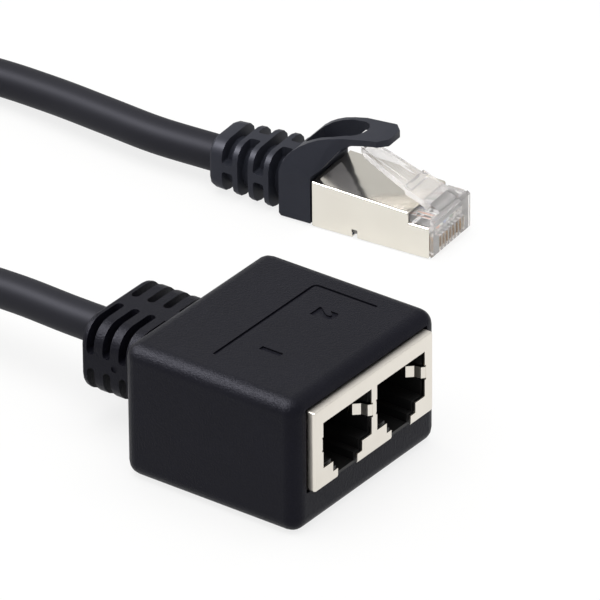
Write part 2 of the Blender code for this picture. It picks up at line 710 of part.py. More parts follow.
# Plug: everything hangs on one empty that lies at its nose.
def make_plug_frame():
    frame = bpy.data.objects.new("plug_frame", None)
    bpy.data.collections["network_splitter"].objects.link(frame)
    frame.location = (PLUG_X, PLUG_Y, PLUG_FLOOR)
    frame.rotation_euler = (0, 0, PLUG_TURN)
    return frame


def shield_top(y):
    """Height of the plug shield's sloping top at a distance from the nose."""
    rise = (PLUG_SHIELD_REAR_TOP - PLUG_SHIELD_STEP_TOP) / (PLUG_SHIELD_BACK - PLUG_SHIELD_STEP)
    return PLUG_SHIELD_STEP_TOP + rise * (y - PLUG_SHIELD_STEP)


def blade_x(number):
    return (number - (CONTACTS + 1) / 2) * CONTACT_PITCH


def make_plug_body(frame):
    clear = material("clear_polycarbonate", "e8eae8", 0.12, transmission=0.85)
    drop = PLUG_SHEET + SEAT_GAP
    under = PLUG_SHIELD_FLOOR - SEAT_GAP
    side = [(0, 0.4 * MM), (0.4 * MM, 0), (under, 0),
            (under, drop - PLUG_SHIELD_UNDER), (PLUG_LENGTH, drop - PLUG_SHIELD_UNDER),
            (PLUG_LENGTH, shield_top(PLUG_LENGTH) - drop),
            (PLUG_SHIELD_STEP - SEAT_GAP, shield_top(PLUG_SHIELD_STEP) - drop),
            (PLUG_SHIELD_STEP - SEAT_GAP, NOSE_HEIGHT), (0.5 * MM, NOSE_HEIGHT), (0, NOSE_HEIGHT - 0.5 * MM)]
    body = place(outline_mesh("plug_body", side, -NOSE_WIDTH / 2, NOSE_WIDTH / 2, "across"),
                 "plug_body", finish=clear, parent=frame)
    waist = PLUG_SHIELD_WIDTH / 2 - PLUG_SHEET - SEAT_GAP
    for sign in (-1, 1):
        edges = sorted((sign * waist, sign * NOSE_WIDTH))
        combine(body, box_mesh("plug_waist_%s" % ("left" if sign < 0 else "right"),
                               (edges[0], NOSE_LIP, -1 * MM), (edges[1], PLUG_LENGTH + 1 * MM, 9 * MM)))
    wire_low = WIRE_LEVEL - CONDUCTOR / 2 - 0.2 * MM
    wire_high = WIRE_LEVEL + CONDUCTOR / 2 + 0.35 * MM
    row = CONTACTS * CONTACT_PITCH / 2 + 0.05 * MM
    combine(body, box_mesh("wire_row", (-row, WIRE_FRONT - 0.4 * MM, wire_low),
                           (row, LOAD_BAR_FRONT, wire_high)))
    bar_low = WIRE_LEVEL - 1.25 * MM - SEAT_GAP
    bar_half = row + 0.25 * MM + SEAT_GAP
    combine(body, box_mesh("bar_room", (-bar_half, LOAD_BAR_FRONT - SEAT_GAP, bar_low),
                           (bar_half, LOAD_BAR_FRONT + LOAD_BAR_LENGTH + 2 * MM, wire_high + 0.4 * MM)))
    combine(body, box_mesh("cord_room",
                           (-waist + 0.7 * MM, LOAD_BAR_FRONT + LOAD_BAR_LENGTH + 1 * MM, 1.1 * MM),
                           (waist - 0.7 * MM, PLUG_LENGTH + 1 * MM, 6.2 * MM)))
    for number in range(1, CONTACTS + 1):
        x = blade_x(number)
        combine(body, box_mesh("blade_slot_%d" % number,
                               (x - BLADE_SLOT / 2, -1 * MM, -1 * MM),
                               (x + BLADE_SLOT / 2, BLADE_LENGTH + 0.65 * MM, BLADE_HEIGHT + 0.5 * MM)))
    for sign in (-1, 1):
        outer = sign * (row + NOSE_RIB)
        edges = sorted((outer, outer - sign * NOSE_RIB))
        combine(body, box_mesh("nose_rib_%s" % ("left" if sign < 0 else "right"),
                               (edges[0], NOSE_LIP + 0.1 * MM, NOSE_HEIGHT - 0.5 * MM),
                               (edges[1], PLUG_SHIELD_STEP - 1 * MM, NOSE_HEIGHT + NOSE_RIB_HEIGHT)), "UNION")
    combine(body, make_latch(frame), "UNION")
    return body


def latch_top(y):
    """Height of the latch's upper face at a distance from the nose."""
    front = LATCH_FRONT_TOP + (min(y, LATCH_SHOULDER) - LATCH_FRONT) * LATCH_FRONT_RISE
    return front + max(y - LATCH_SHOULDER, 0) * LATCH_RISE


def make_latch(frame):
    stations = [LATCH_FRONT, LATCH_HINGE, LATCH_SHOULDER, LATCH_END]
    top = [(y, latch_top(y)) for y in stations]
    low = [(y, latch_top(y) - LATCH_THICK) for y in reversed(stations[1:])]
    foot = NOSE_HEIGHT - 0.4 * MM
    root = [(LATCH_HINGE - 0.5 * MM, latch_top(LATCH_HINGE) - LATCH_THICK - 0.35 * MM),
            (LATCH_HINGE - 1.3 * MM, foot), (NOSE_LIP, foot), (NOSE_LIP, NOSE_HEIGHT + 0.4 * MM)]
    lever = place(outline_mesh("latch_lever", top + low + root, -LATCH_WIDE / 2, LATCH_WIDE / 2, "across"),
                  "latch_lever", "cutters", parent=frame)
    wide, neck, tip = LATCH_WIDE / 2, LATCH_NECK / 2, LATCH_TIP_WIDTH / 2
    shoulder = LATCH_SHOULDER
    right = [(wide, 0), (wide, shoulder), (neck, shoulder + 0.3 * MM), (tip, LATCH_END - 1.0 * MM),
             (tip - 0.7 * MM, LATCH_END + 0.1 * MM)]
    left = [(-x, y) for x, y in reversed(right)]
    combine(lever, outline_mesh("latch_plan", right + left, 0, HOOD_OVER, "above"), "INTERSECT")
    recess = [(LATCH_RECESS, latch_top(LATCH_RECESS) - LATCH_RAIL_HEIGHT),
              (LATCH_END + 1 * MM, latch_top(LATCH_END + 1 * MM) - LATCH_RAIL_HEIGHT),
              (LATCH_END + 1 * MM, latch_top(LATCH_END) + 1 * MM), (LATCH_RECESS, latch_top(LATCH_END))]
    inside = LATCH_TIP_WIDTH / 2 - LATCH_RAIL
    combine(lever, outline_mesh("latch_recess", recess, -inside, inside, "across"))
    bar = [(LATCH_BAR, latch_top(LATCH_BAR) - LATCH_THICK / 2),
           (LATCH_RECESS, latch_top(LATCH_RECESS) - LATCH_THICK / 2),
           (LATCH_RECESS, latch_top(LATCH_RECESS) + LATCH_RAIL_HEIGHT),
           (LATCH_BAR + 0.25 * MM, latch_top(LATCH_BAR) + LATCH_RAIL_HEIGHT)]
    combine(lever, outline_mesh("latch_bar", bar, -wide + 0.4 * MM, wide - 0.4 * MM, "across"), "UNION")
    return lever


def make_plug_shield(frame):
    steel = material("nickel_plated_steel", "d9d5cb", 0.28, metallic=1.0)
    half = PLUG_SHIELD_WIDTH / 2
    low = -PLUG_SHIELD_UNDER
    side = [(PLUG_SHIELD_FRONT, low), (PLUG_SHIELD_BACK, low), (PLUG_SHIELD_BACK, PLUG_SHIELD_REAR_TOP),
            (PLUG_SHIELD_STEP, PLUG_SHIELD_STEP_TOP), (PLUG_SHIELD_STEP, PLUG_SHIELD_LOW),
            (PLUG_SHIELD_FRONT, PLUG_SHIELD_LOW)]
    shield = place(outline_mesh("plug_shield", side, -half, half, "across"), "plug_shield",
                   finish=steel, parent=frame)
    soften(shield, 0.2 * MM, 1, 80.0)
    inner = [(-1 * MM, low + PLUG_SHEET), (PLUG_SHIELD_BACK + 1 * MM, low + PLUG_SHEET),
             (PLUG_SHIELD_BACK + 1 * MM, shield_top(PLUG_SHIELD_BACK + 1 * MM) - PLUG_SHEET),
             (-1 * MM, shield_top(-1 * MM) - PLUG_SHEET)]
    combine(shield, outline_mesh("plug_shield_room", inner, PLUG_SHEET - half, half - PLUG_SHEET,
                                 "across"))
    inside = half - PLUG_SHEET
    combine(shield, box_mesh("plug_open_foot", (-inside, -1 * MM, -1 * MM),
                             (inside, PLUG_SHIELD_FLOOR, 1 * MM)))
    notch = PLUG_NOTCH / 2
    combine(shield, box_mesh("plug_notches", (-half - 1 * MM, PLUG_NOTCH_AT - notch, -1 * MM),
                             (half + 1 * MM, PLUG_NOTCH_AT + notch, PLUG_NOTCH_HIGH - PLUG_SHIELD_UNDER)))
    return shield


def make_plug_contacts(frame):
    gold = material("gold_plated_bronze", "cfa24a", 0.3, metallic=1.0)
    front, low = 0.35 * MM, 0.3 * MM
    back, high = front + BLADE_LENGTH, low + BLADE_HEIGHT
    side = [(front + 0.5 * MM, low), (back, low), (back, high - 0.7 * MM), (back - 0.5 * MM, high),
            (back - 1.0 * MM, high - 0.7 * MM), (back - 1.5 * MM, high - 0.7 * MM),
            (back - 2.0 * MM, high), (back - 2.5 * MM, high - 0.7 * MM), (front, high - 0.9 * MM),
            (front, low + 0.5 * MM)]
    for number in range(1, CONTACTS + 1):
        x = blade_x(number)
        name = "plug_contact_%d" % number
        place(outline_mesh(name, side, x - BLADE_THICK / 2, x + BLADE_THICK / 2, "across"), name,
              finish=gold, parent=frame)


def make_load_bar(frame):
    clear = material("clear_polycarbonate", "e8eae8", 0.12, transmission=0.85)
    half = CONTACTS * CONTACT_PITCH / 2 + 0.3 * MM
    low = WIRE_LEVEL - 1.25 * MM
    bar = place(box_mesh("plug_load_bar", (-half, LOAD_BAR_FRONT, low),
                         (half, LOAD_BAR_FRONT + LOAD_BAR_LENGTH, WIRE_LEVEL + CONDUCTOR / 2)),
                "plug_load_bar", finish=clear, parent=frame)
    for number in range(1, CONTACTS + 1):
        x = blade_x(number)
        wide = LOAD_BAR_GROOVE / 2
        combine(bar, box_mesh("bar_groove_%d" % number,
                              (x - wide, LOAD_BAR_FRONT - 1 * MM, WIRE_LEVEL - CONDUCTOR / 2 - 0.1 * MM),
                              (x + wide, LOAD_BAR_FRONT + LOAD_BAR_LENGTH + 1 * MM, WIRE_LEVEL + 1 * MM)))
    return bar


def make_plug_wires(frame):
    end = PLUG_LENGTH - 0.1 * MM
    for number in range(1, CONTACTS + 1):
        a, b = ring_spot(number)
        x = blade_x(number)
        route = [(x, WIRE_FRONT, WIRE_LEVEL), (x, LOAD_BAR_FRONT, WIRE_LEVEL),
                 (x, WIRE_STRAIGHT - 1.5 * MM, WIRE_LEVEL), (x, WIRE_STRAIGHT, WIRE_LEVEL),
                 (a, end - 1.5 * MM, CABLE_AXIS + b), (a, end, CABLE_AXIS + b)]
        tube("plug_wire_%d" % number, smooth_path(route, 2), CONDUCTOR / 2, 1, wire_finish(number),
             parent=frame)


# Boot: a block behind the shield, a ribbed relief and a hood over the latch.
def hood_profile():
    """The block and hood as (Y, Z), seen from the side."""
    over = [(27.5, BLOCK_UNDER / MM), (27.9, 0.5), (27.9, 7.9), (27.6, 9.1), (26.9, 10.4), (25.9, 11.6),
            (24.6, 12.7), (23.2, 13.6), (21.6, 14.4), (19.8, 15.0), (17.4, 15.6), (14.6, 16.0),
            (12.2, 16.3), (10.3, 16.4)]
    below = [(10.3, 15.2), (12.2, 15.3), (14.2, 15.0), (15.8, 14.7), (17.0, 14.2), (18.2, 13.0),
             (19.5, 11.3), (20.7, 9.7), (BOOT_FRONT / MM, 8.3), (BOOT_FRONT / MM, BLOCK_UNDER / MM)]
    return [(y * MM, z * MM) for y, z in over + below]


# The hood's outline seen from above, as its distance from the nose and its half
# width, and its taper seen from the front, as half width and height, all in mm.
HOOD_PLAN = [(10.3, 1.7), (11.7, 3.3), (14.3, 3.55), (17.3, 3.95), (20.0, 4.7), (22.2, 5.85), (28.5, 5.85)]
HOOD_LEAN = [(5.9, -1.0), (5.9, 7.6), (5.5, 10.0), (4.85, 12.6), (4.1, 15.2), (3.6, 17.0)]


def hood_half_width(y):
    """Half of the hood's width at a distance from the nose, both in mm."""
    for (y0, w0), (y1, w1) in zip(HOOD_PLAN, HOOD_PLAN[1:]):
        if y <= y1:
            return w0 + (w1 - w0) * (y - y0) / (y1 - y0)
    return HOOD_PLAN[-1][1]


def window_plan():
    """The long window between the hood's two arms, with round ends."""
    wall, nose, corner = HOOD_WALL / MM, WINDOW_NOSE / MM, WINDOW_CORNER / MM
    front, widest, back = WINDOW_FRONT / MM, WINDOW_WIDEST / MM, WINDOW_BACK / MM
    half = hood_half_width(front + nose) - wall
    right = [(half * math.sin(math.radians(a)), front + nose * (1 - math.cos(math.radians(a))))
             for a in (0, 25, 50, 75, 90)]
    rear = hood_half_width(widest) - wall
    right += [(rear, widest), (rear, back - corner), (rear - corner * 0.3, back - corner * 0.3),
              (rear - corner, back)]
    left = [(-x, y) for x, y in reversed(right) if x > 1e-6]
    return [(x * MM, y * MM) for x, y in right + left]


def make_plug_boot(frame):
    black = material("boot_pvc_black", "34353b", 0.55)
    boot = place(outline_mesh("plug_boot", hood_profile(), -BLOCK_WIDTH / 2, BLOCK_WIDTH / 2, "across"),
                 "plug_boot", finish=black, parent=frame)
    right = [(half * MM, y * MM) for y, half in HOOD_PLAN]
    left = [(-x, y) for x, y in reversed(right)]
    combine(boot, outline_mesh("hood_plan", right + left, -1 * MM, HOOD_OVER, "above"), "INTERSECT")
    front_view = HOOD_LEAN + [(-x, z) for x, z in reversed(HOOD_LEAN)]
    combine(boot, outline_mesh("hood_lean", [(x * MM, z * MM) for x, z in front_view],
                               -BOOT_BACK, 0, "facing"), "INTERSECT")
    combine(boot, outline_mesh("hood_window", window_plan(), WINDOW_FLOOR, HOOD_OVER, "above"))
    combine(boot, make_ribs(frame), "UNION")
    bore = rod_mesh("boot_bore", BORE, BOOT_FRONT - 1 * MM, BOOT_BACK + 1 * MM)
    bore.transform(Matrix.Translation((0, 0, CABLE_AXIS)))
    combine(boot, bore)
    return boot


def make_ribs(frame):
    """The tapered relief behind the block, with four slots cut round it."""
    start = BLOCK_BACK - 0.8 * MM
    shape = bmesh.new()
    bmesh.ops.create_cube(shape, size=1.0)
    for vert in shape.verts:
        back = vert.co.y > 0
        wide = BOOT_BACK_WIDTH if back else BOOT_FRONT_WIDTH
        high = BOOT_BACK_HEIGHT if back else BOOT_FRONT_HEIGHT
        height = CABLE_AXIS + BOOT_LIFT + vert.co.z * high
        vert.co = Vector((vert.co.x * wide, BOOT_BACK if back else start, height))
    edges = [e for e in shape.edges if abs(e.verts[0].co.y - e.verts[1].co.y) > MM]
    bmesh.ops.bevel(shape, geom=edges, offset=BOOT_CORNER, segments=3, profile=0.5, affect="EDGES")
    mesh = bpy.data.meshes.new("boot_relief")
    shape.to_mesh(mesh)
    shape.free()
    ribs = place(mesh, "boot_relief", "cutters", parent=frame)
    rim = ribs.modifiers.new("rim", "BEVEL")
    rim.width = BOOT_RIM
    rim.segments = 2
    rim.limit_method = "ANGLE"
    rim.angle_limit = math.radians(60)
    slots = []
    for i in range(BOOT_SLOTS):
        middle = BLOCK_BACK + BOOT_SLOT / 2 + i * (BOOT_SLOT + BOOT_RING)
        slots.append((middle, BOOT_BRIDGE, 0.0) if i % 2 == 0 else (middle, 0.0, BOOT_SIDE_BRIDGE))
    combine(ribs, ring_cutter("boot_slots", (0, CABLE_AXIS), slots, BOOT_SLOT, BLOCK_WIDTH * 0.7,
                              BOOT_CORE, BOOT_SLOT_END, BOOT_SIDE_RISE, parent=frame))
    return ribs


# Cable: straight in the housing and in the boot, smooth between them.
def make_cable(frame):
    jacket = material("cable_pvc_black", "2a2a2c", 0.5)
    plug = Matrix.Translation(frame.location) @ Matrix.Rotation(PLUG_TURN, 4, "Z")
    inside = Vector((0, FRONT + CABLE_INSIDE, AXIS_HEIGHT))
    leaving = Vector((0, RELIEF_END, AXIS_HEIGHT))
    arriving = plug @ Vector((0, BOOT_BACK + 4 * MM, CABLE_AXIS))
    ending = plug @ Vector((0, PLUG_LENGTH + SEAT_GAP, CABLE_AXIS))
    entering = plug @ Vector((0, BOOT_BACK - 5 * MM, CABLE_AXIS))
    route = [leaving] + [Vector(p) * MM for p in CABLE_ROUTE] + [arriving, entering]
    path = [inside] + smooth_path(route, CABLE_STEPS) + [ending]
    return tube("cable", path, CABLE_DIAMETER / 2, 3, jacket)


def main():
    start_scene()
    make_housing()
    make_jack_shield()
    make_jack_body()
    make_jack_contacts()
    make_circuit_board()
    make_board_wires()
    frame = make_plug_frame()
    make_plug_body(frame)
    make_plug_shield(frame)
    make_plug_contacts(frame)
    make_load_bar(frame)
    make_plug_wires(frame)
    make_plug_boot(frame)
    make_cable(frame)


main()
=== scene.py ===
# Network splitter lead: a moulded housing with two shielded jacks, a short round
# cable, and a shielded plug with a boot over its latch.

import math

import bpy
from mathutils import Matrix, Quaternion, Vector


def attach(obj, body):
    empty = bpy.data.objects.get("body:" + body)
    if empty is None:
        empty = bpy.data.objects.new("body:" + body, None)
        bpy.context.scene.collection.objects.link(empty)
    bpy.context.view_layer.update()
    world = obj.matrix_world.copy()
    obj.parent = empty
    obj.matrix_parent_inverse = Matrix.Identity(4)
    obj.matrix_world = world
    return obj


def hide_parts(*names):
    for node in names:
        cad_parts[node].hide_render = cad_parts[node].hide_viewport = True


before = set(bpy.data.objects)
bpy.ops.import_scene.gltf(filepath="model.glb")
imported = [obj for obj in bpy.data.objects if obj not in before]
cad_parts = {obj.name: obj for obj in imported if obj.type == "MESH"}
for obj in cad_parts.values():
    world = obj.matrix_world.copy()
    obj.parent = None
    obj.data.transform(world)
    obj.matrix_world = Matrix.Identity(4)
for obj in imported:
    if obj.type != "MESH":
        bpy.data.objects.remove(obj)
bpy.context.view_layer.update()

# Camera. A long lens well away from the lead, so that edges stay nearly
# parallel, looking down on the left of the jacks with the slight roll that the
# photograph has.
MM = 0.001
LOOK_AT = Vector((25.46, 8.61, 10.0)) * MM
CAMERA_DISTANCE = 1366.8 * MM
CAMERA_TURN = math.radians(53.51)
CAMERA_DOWN = math.radians(29.86)
CAMERA_ROLL = math.radians(-0.49)
CAMERA_LENS = 540.0
CAMERA_SENSOR = 36.0
CAMERA_NEAR = 0.05
CAMERA_FAR = 20.0

looking = Vector((
    math.sin(CAMERA_TURN) * math.cos(CAMERA_DOWN),
    math.cos(CAMERA_TURN) * math.cos(CAMERA_DOWN),
    -math.sin(CAMERA_DOWN),
))
bpy.ops.object.select_all(action="DESELECT")
bpy.ops.object.camera_add(location=LOOK_AT - looking * CAMERA_DISTANCE)
camera = bpy.context.object
camera.name = "camera"
camera.rotation_mode = "QUATERNION"
camera.rotation_quaternion = looking.to_track_quat("-Z", "Y") @ Quaternion((0, 0, 1), CAMERA_ROLL)
camera.data.sensor_width = CAMERA_SENSOR
camera.data.lens = CAMERA_LENS
camera.data.clip_start = CAMERA_NEAR
camera.data.clip_end = CAMERA_FAR
bpy.context.scene.camera = camera
bpy.context.scene.view_settings.view_transform = "Standard"


# Cable. A round lead with a black PVC jacket over its screen and four pairs,
# extruded, and moulded in at both ends. It comes down from the housing to the
# surface and turns back to the plug in one loose bend.
CABLE_DIAMETER = 6.0 * MM

# The route, in millimetres. The last values lie along the plug's middle line,
# behind its nose and above the base of its clear body.
CABLE_START = (0.0, 6.25, 11.25)
CABLE_EXIT = (0.0, 23.75, 11.25)
CABLE_ROUTE = [
    (0.0, 33.0, 11.25),
    (0.5, 43.0, 11.1),
    (1.1, 54.0, 10.2),
    (1.6, 65.0, 8.5),
    (2.0, 76.0, 6.4),
    (2.4, 87.0, 4.6),
    (2.6, 99.0, 3.4),
    (4.9, 110.8, 3.05),
    (11.6, 120.7, 3.05),
    (21.5, 127.4, 3.05),
    (33.3, 129.7, 3.05),
    (45.1, 127.4, 3.05),
    (55.0, 120.7, 3.05),
    (61.7, 110.8, 3.15),
    (64.0, 99.0, 3.6),
    (63.8, 86.0, 4.1),
    (62.9, 74.0, 4.4),
    (62.3, 64.0, 4.5),
]
BOOT_END = 41.3
ROUTE_BEHIND_BOOT = 4.0
ROUTE_IN_BOOT = 5.0
CABLE_END_IN_PLUG = 21.76
CABLE_HEIGHT_IN_PLUG = 4.25

PLUG_NOSE = Vector((67.15, 9.95, 0.25)) * MM
PLUG_TURN = math.radians(5.4)
CABLE_STEPS = 6
CABLE_ROUNDNESS = 8

plug_place = Matrix.Translation(PLUG_NOSE) @ Matrix.Rotation(PLUG_TURN, 4, "Z")


def in_plug(behind_nose):
    """The cable's middle at a distance behind the plug's nose."""
    return plug_place @ (Vector((0, behind_nose, CABLE_HEIGHT_IN_PLUG)) * MM)


def smooth_path(route, steps):
    """Points on one smooth curve through the route's points."""
    ends = [2 * route[0] - route[1]] + route + [2 * route[-1] - route[-2]]
    path = []
    for a, b, c, d in zip(ends, ends[1:], ends[2:], ends[3:]):
        for k in range(steps):
            t = k / steps
            path.append(0.5 * (2 * b + (c - a) * t + (2 * a - 5 * b + 4 * c - d) * t ** 2
                               + (3 * b - a - 3 * c + d) * t ** 3))
    path.append(route[-1])
    return path


route = [Vector(point) * MM for point in [CABLE_EXIT] + CABLE_ROUTE]
route += [in_plug(BOOT_END + ROUTE_BEHIND_BOOT), in_plug(BOOT_END - ROUTE_IN_BOOT)]
cable_path = [Vector(CABLE_START) * MM] + smooth_path(route, CABLE_STEPS) + [in_plug(CABLE_END_IN_PLUG)]

cable_curve = bpy.data.curves.new("cable_jacket", "CURVE")
cable_curve.dimensions = "3D"
cable_curve.bevel_depth = CABLE_DIAMETER / 2
cable_curve.bevel_resolution = CABLE_ROUNDNESS
cable_curve.use_fill_caps = True
cable_line = cable_curve.splines.new("POLY")
cable_line.points.add(len(cable_path) - 1)
for spot, point in zip(cable_line.points, cable_path):
    spot.co = (*point, 1.0)
cable_line.use_smooth = True
cable = bpy.data.objects.new("cable_jacket", cable_curve)
bpy.context.collection.objects.link(cable)


def linear(hex_colour):
    """An sRGB colour written in hex, as linear values with full alpha."""
    channels = [int(hex_colour[i:i + 2], 16) / 255 for i in (0, 2, 4)]
    return [c / 12.92 if c <= 0.04045 else ((c + 0.055) / 1.055) ** 2.4 for c in channels] + [1.0]


def add_node(tree, kind, settings=None, links=None):
    """Adds a node, sets its inputs or properties, and links (node, output) pairs to its inputs."""
    made = tree.nodes.new(kind)
    for key, value in (settings or {}).items():
        if isinstance(key, int) or key in made.inputs:
            made.inputs[key].default_value = value
        else:
            setattr(made, key, value)
    for key, (source, output) in (links or {}).items():
        tree.links.new(source.outputs[output], made.inputs[key])
    return made


def start_material(name):
    """A new material, with its node tree, its shader and the coordinates on the piece."""
    made = bpy.data.materials.new(name)
    made.use_nodes = True
    tree = made.node_tree
    return made, tree, tree.nodes["Principled BSDF"], add_node(tree, "ShaderNodeTexCoord")


def two_tone(tree, place, patch_size, darker, lighter, detail=2.0):
    """Lets the shader's colour drift between two, in patches of a size."""
    patches = add_node(tree, "ShaderNodeTexNoise", {"Scale": 1 / patch_size, "Detail": detail},
                       {"Vector": (place, "Object")})
    tone = add_node(tree, "ShaderNodeValToRGB", links={"Fac": (patches, "Fac")})
    tone.color_ramp.elements[0].color = linear(darker)
    tone.color_ramp.elements[1].color = linear(lighter)
    tree.links.new(tone.outputs["Color"], tree.nodes["Principled BSDF"].inputs["Base Color"])


def uneven(tree, place, size, pattern, height, strength):
    """Raises a noise pattern of a size on the surface by a height, and gives its node."""
    noise = add_node(tree, "ShaderNodeTexNoise", {"Scale": 1 / size, **pattern},
                     {"Vector": (place, "Object")})
    bump = add_node(tree, "ShaderNodeBump", {"Strength": strength, "Distance": height},
                    {"Height": (noise, "Fac")})
    tree.links.new(bump.outputs["Normal"], tree.nodes["Principled BSDF"].inputs["Normal"])
    return noise


# PVC jacket, extruded: black, with weak and slightly blue reflections, faint
# patches and a fine grain. The real grain is finer, and is drawn as coarse as
# it shows.
PVC_GLOSS = 0.08
PVC_SHEEN = "eeeeff"
CABLE_PATCH = 14 * MM
CABLE_GRAIN = 0.4 * MM
CABLE_GRAIN_HEIGHT = 0.02 * MM

jacket, tree, shader, place = start_material("pvc_extruded_black")
shader.inputs["Roughness"].default_value = 0.5
shader.inputs["Specular IOR Level"].default_value = PVC_GLOSS
shader.inputs["Specular Tint"].default_value = linear(PVC_SHEEN)
two_tone(tree, place, CABLE_PATCH, "222227", "2b2b30")
uneven(tree, place, CABLE_GRAIN, {"Detail": 3.0}, CABLE_GRAIN_HEIGHT, strength=0.25)
cable_curve.materials.append(jacket)

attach(cable, "root")
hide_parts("cable")


# Floor and light. A plain white table in a pale room, under a large soft lamp,
# with a weak one behind for the rims and a strip for gloss alone. The camera
# sees room and table nearly white, and the table keeps the lead's shadow.
FLOOR_SIZE = 6.0
FLOOR_GAP = 0.05 * MM

bpy.ops.object.select_all(action="DESELECT")
bpy.ops.mesh.primitive_plane_add(size=FLOOR_SIZE, location=(0, 0, -FLOOR_GAP))
floor = bpy.context.object
floor.name = "table"

# Laminate, matt white: mostly plain white where the camera, a reflection or
# glass sees it, and a lit surface for the rest.
TABLE_PLAIN_WHITE = 0.8

laminate = bpy.data.materials.new("laminate_matt_white")
laminate.use_nodes = True
tree = laminate.node_tree
shader = tree.nodes["Principled BSDF"]
shader.inputs["Base Color"].default_value = linear("f0f0ee")
shader.inputs["Roughness"].default_value = 0.8
shader.inputs["Specular IOR Level"].default_value = 0.1
rays = add_node(tree, "ShaderNodeLightPath")
seen = add_node(tree, "ShaderNodeMath", {"operation": "MAXIMUM"},
                {0: (rays, "Is Camera Ray"), 1: (rays, "Is Glossy Ray")})
seen_through = add_node(tree, "ShaderNodeMath", {"operation": "MAXIMUM"},
                        {0: (seen, "Value"), 1: (rays, "Is Transmission Ray")})
share = add_node(tree, "ShaderNodeMath", {"operation": "MULTIPLY", 1: TABLE_PLAIN_WHITE},
                 {0: (seen_through, "Value")})
white = add_node(tree, "ShaderNodeEmission", {"Color": linear("ffffff"), "Strength": 1.0})
mixed = add_node(tree, "ShaderNodeMixShader", links={0: (share, "Value"), 1: (shader, "BSDF"),
                                                     2: (white, "Emission")})
tree.links.new(mixed.outputs["Shader"], tree.nodes["Material Output"].inputs["Surface"])
floor.data.materials.append(laminate)

# The room is white to the camera and through the clear plug, and lights the
# lead with less. Reflections show it part of the way from its light to white.
ROOM_SEEN = 1.0
ROOM_LIGHT = 0.55
ROOM_REFLECTED = 0.25

room = bpy.data.worlds.new("pale_room")
room.use_nodes = True
tree = room.node_tree
background = tree.nodes["Background"]
background.inputs["Color"].default_value = linear("ffffff")
rays = add_node(tree, "ShaderNodeLightPath")
reflected = add_node(tree, "ShaderNodeMath", {"operation": "MULTIPLY", 1: ROOM_REFLECTED},
                     {0: (rays, "Is Glossy Ray")})
seen = add_node(tree, "ShaderNodeMath", {"operation": "MAXIMUM"},
                {0: (rays, "Is Camera Ray"), 1: (reflected, "Value")})
seen_through = add_node(tree, "ShaderNodeMath", {"operation": "MAXIMUM"},
                        {0: (seen, "Value"), 1: (rays, "Is Transmission Ray")})
strength = add_node(tree, "ShaderNodeMapRange", {"To Min": ROOM_LIGHT, "To Max": ROOM_SEEN},
                    {"Value": (seen_through, "Value")})
tree.links.new(strength.outputs["Result"], background.inputs["Strength"])
bpy.context.scene.world = room


def soft_lamp(name, place, toward, length, width, power):
    """A soft lamp that faces a point, with its length level."""
    bpy.ops.object.light_add(type="AREA", location=place)
    lamp = bpy.context.object
    lamp.name = name
    lamp.data.shape = "RECTANGLE"
    lamp.data.size = length
    lamp.data.size_y = width
    lamp.data.energy = power
    way = Vector(toward) - Vector(place)
    lamp.rotation_mode = "QUATERNION"
    lamp.rotation_quaternion = way.to_track_quat("-Z", "Y")
    return lamp


TOP_LAMP_PLACE = (-0.06, 0.0, 0.9)
TOP_LAMP_AIM = (0.03, 0.03, 0.0)
TOP_LAMP_SIZE = 0.9
TOP_LAMP_POWER = 7.0
RIM_LAMP_PLACE = (0.35, 0.75, 0.45)
RIM_LAMP_AIM = (0.02, 0.02, 0.0)
RIM_LAMP_SIZE = 0.5
RIM_LAMP_POWER = 0.6
EDGE_LAMP_PLACE = (-0.33, 0.45, 0.64)
EDGE_LAMP_AIM = (0.0, 0.0, 0.0)
EDGE_LAMP_LENGTH = 0.6
EDGE_LAMP_WIDTH = 0.3
EDGE_LAMP_POWER = 23.0

soft_lamp("top_lamp", TOP_LAMP_PLACE, TOP_LAMP_AIM, TOP_LAMP_SIZE, TOP_LAMP_SIZE, TOP_LAMP_POWER)
soft_lamp("rim_lamp", RIM_LAMP_PLACE, RIM_LAMP_AIM, RIM_LAMP_SIZE, RIM_LAMP_SIZE, RIM_LAMP_POWER)

# The strip gives the bright line along the housing's rounded top edge and the
# light along the cable.
edge_lamp = soft_lamp("edge_lamp", EDGE_LAMP_PLACE, EDGE_LAMP_AIM, EDGE_LAMP_LENGTH, EDGE_LAMP_WIDTH,
                      EDGE_LAMP_POWER)
edge_lamp.visible_diffuse = False


# Housing. One black PVC overmould round the jacks and the cable's end, with
# its ribbed strain relief, from a tool with a fine spark-eroded grain.
HOUSING_EDGE = 0.12 * MM
EDGE_ROWS = 2
SHARP_ANGLE = 30.0
FLAT_ANGLE = 0.5
WELD_GAP = 0.002 * MM


def even_shading(made, sharp=SHARP_ANGLE):
    """Smooth shading up to an angle, with normals that follow the larger faces."""
    bpy.ops.object.shade_smooth_by_angle(angle=math.radians(sharp))
    normals = made.modifiers.new("even_normals", "WEIGHTED_NORMAL")
    normals.keep_sharp = True
    bpy.ops.object.modifier_apply(modifier=normals.name)


